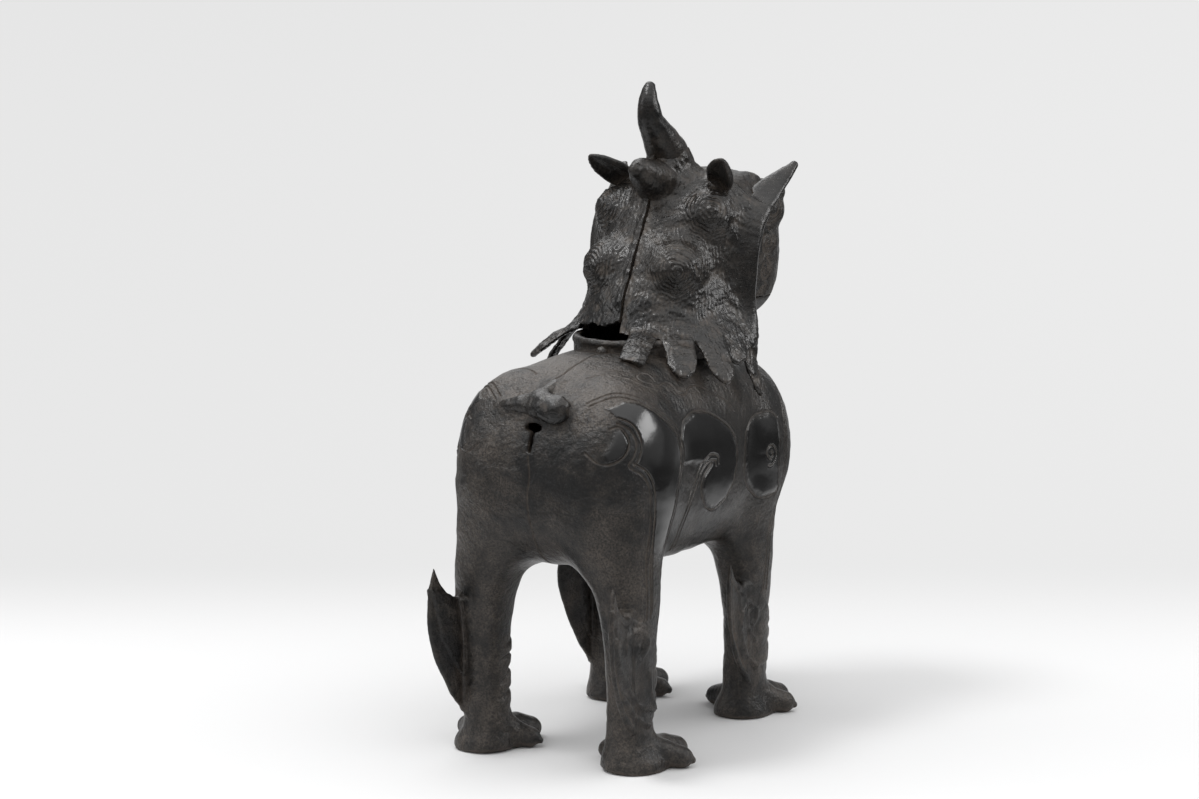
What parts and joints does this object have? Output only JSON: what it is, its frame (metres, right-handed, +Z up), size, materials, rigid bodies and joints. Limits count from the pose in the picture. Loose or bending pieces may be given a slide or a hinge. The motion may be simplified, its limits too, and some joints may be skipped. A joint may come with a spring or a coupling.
{
  "type": "incense burner",
  "caption": "Standing horned beast in dark bronze with a hollow body and a hinged head lid; incense burns inside and smoke leaves through the open mouth.",
  "frame": {"origin": "on the floor under the middle of the part's bounding box, between the four paws", "axes": "+Z up, the beast faces -Y, its left side is +X"},
  "size_m": [0.1166, 0.1975, 0.3],
  "materials": {
    "rubbed_bronze": "near-black patinated bronze, worn to a satin gloss",
    "cast_bronze": "dark brown-black patinated bronze with a grainy cast skin",
    "inner_bronze": "reddish brown oxidised bronze, matt",
    "hinge_bronze": "brown-black bronze, rubbed at the knuckles"
  },
  "bodies": {
    "body": {"trunk_left": "rubbed_bronze", "trunk_right": "rubbed_bronze", "belly_plate": "inner_bronze", "neck_collar": "cast_bronze", "collar_lug": "cast_bronze", "tail": "cast_bronze", "leg_front_left": "rubbed_bronze", "fin_front_left": "cast_bronze", "leg_front_right": "rubbed_bronze", "fin_front_right": "cast_bronze", "leg_rear_left": "rubbed_bronze", "fin_rear_left": "cast_bronze", "leg_rear_right": "rubbed_bronze", "fin_rear_right": "cast_bronze", "hinge_leaf_body": "hinge_bronze", "hinge_pin": "hinge_bronze", "body_rivet_left": "hinge_bronze", "body_rivet_right": "hinge_bronze"},
    "head": {"mane_left": "cast_bronze", "mane_right": "cast_bronze", "face_mask": "cast_bronze", "lower_jaw": "cast_bronze", "horn": "rubbed_bronze", "crown_knob": "cast_bronze", "crown_tuft_left": "cast_bronze", "crown_tuft_right": "cast_bronze", "ear_left": "cast_bronze", "ear_right": "cast_bronze", "neck_flange": "inner_bronze", "hinge_leaf_head": "hinge_bronze", "head_rivet_1": "hinge_bronze", "head_rivet_2": "hinge_bronze"}
  },
  "joints": [
    {"name": "head_hinge", "type": "hinge", "parent": "body", "child": "head", "pos_m": [0, -0.0595, 0.187], "axis": [1, 0, 0], "range_deg": [0, 60]}
  ]
}
